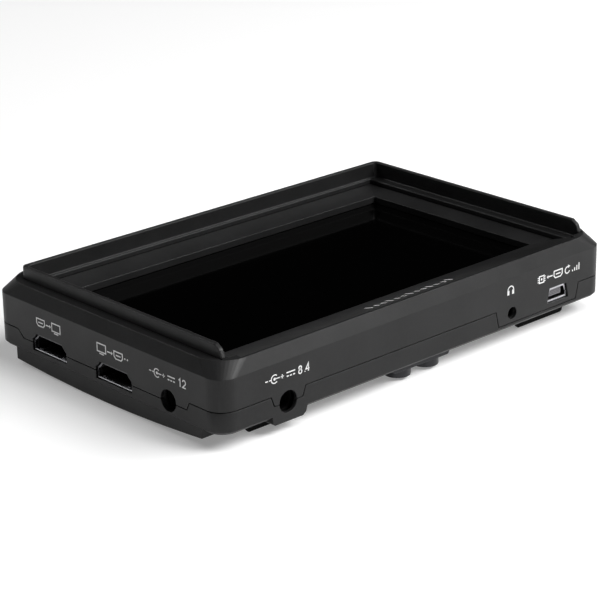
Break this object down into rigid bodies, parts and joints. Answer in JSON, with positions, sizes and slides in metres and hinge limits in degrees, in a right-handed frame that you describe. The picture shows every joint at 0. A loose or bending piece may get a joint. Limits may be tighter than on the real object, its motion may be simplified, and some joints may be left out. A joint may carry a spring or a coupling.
{
  "type": "camera field monitor",
  "caption": "Flat field monitor for a camera, with a low three-sided sun hood, side ports, edge keys, a battery plate on the back and bosses for an arm.",
  "frame": {"origin": "middle of the bounding box, on the surface that the feet stand on, the monitor on its back", "axes": "+X along the long side, to the right of someone who reads the screen; +Y from the lower edge of the screen to its upper edge; +Z out of the screen"},
  "size_m": [0.15, 0.0968, 0.0275],
  "materials": {
    "case_plastic": "fine satin moulding texture",
    "back_plastic": "fine matt moulding texture",
    "hood_plastic": "fine satin moulding texture",
    "screen_glass": "polished dark glass",
    "panel_black": "dark picture panel",
    "tray_steel": "rolled sheet",
    "ribbon_film": "flexible film",
    "board_green": "circuit board lacquer",
    "spreader_metal": "extruded",
    "socket_metal": "plated sheet",
    "jack_plastic": "moulded",
    "light_pipe": "clear moulded",
    "key_plastic": "matt moulded",
    "plate_plastic": "matt moulded",
    "latch_plastic": "matt moulded",
    "spring_steel": "wire",
    "mount_metal": "black anodised",
    "foot_rubber": "matt",
    "screw_steel": "blackened"
  },
  "bodies": {
    "housing": {"front_housing": "case_plastic", "rear_cover": "back_plastic", "cover_glass": "screen_glass", "picture_panel": "panel_black", "panel_tray": "tray_steel", "ribbon_cable": "ribbon_film", "main_board": "board_green", "heat_spreader": "spreader_metal", "video_in_socket": "socket_metal", "video_out_socket": "socket_metal", "power_in_jack": "jack_plastic", "power_out_jack": "jack_plastic", "earphone_jack": "jack_plastic", "service_socket": "socket_metal", "key_board": "board_green", "status_light": "light_pipe", "battery_plate": "plate_plastic", "battery_terminals": "plate_plastic", "latch_spring": "spring_steel", "arm_mount": "mount_metal", "foot_pads": "foot_rubber", "case_screws": "screw_steel", "board_screws": "screw_steel", "plate_screws": "screw_steel"},
    "hood": {"hood_frame": "hood_plastic"},
    "latch": {"battery_latch": "latch_plastic"},
    "power_key_body": {"power_key": "key_plastic"},
    "menu_key_body": {"menu_key": "key_plastic"},
    "exit_key_body": {"exit_key": "key_plastic"},
    "left_key_body": {"left_key": "key_plastic"},
    "right_key_body": {"right_key": "key_plastic"},
    "source_key_body": {"source_key": "key_plastic"}
  },
  "joints": [
    {"name": "hood_lift", "type": "slide", "parent": "housing", "child": "hood", "axis": [0, 0, 1], "range_m": [0, 0.015]},
    {"name": "latch_press", "type": "slide", "parent": "housing", "child": "latch", "axis": [0, 0, 1], "range_m": [0, 0.0008], "stiffness_N_per_m": 400, "deforming": ["latch_spring"]},
    {"name": "power_key_press", "type": "slide", "parent": "housing", "child": "power_key_body", "axis": [0, -1, 0], "range_m": [0, 0.0004], "stiffness_N_per_m": 300},
    {"name": "menu_key_press", "type": "slide", "parent": "housing", "child": "menu_key_body", "axis": [0, -1, 0], "range_m": [0, 0.0004], "stiffness_N_per_m": 300},
    {"name": "exit_key_press", "type": "slide", "parent": "housing", "child": "exit_key_body", "axis": [0, -1, 0], "range_m": [0, 0.0004], "stiffness_N_per_m": 300},
    {"name": "left_key_press", "type": "slide", "parent": "housing", "child": "left_key_body", "axis": [0, -1, 0], "range_m": [0, 0.0004], "stiffness_N_per_m": 300},
    {"name": "right_key_press", "type": "slide", "parent": "housing", "child": "right_key_body", "axis": [0, -1, 0], "range_m": [0, 0.0004], "stiffness_N_per_m": 300},
    {"name": "source_key_press", "type": "slide", "parent": "housing", "child": "source_key_body", "axis": [0, -1, 0], "range_m": [0, 0.0004], "stiffness_N_per_m": 300}
  ]
}
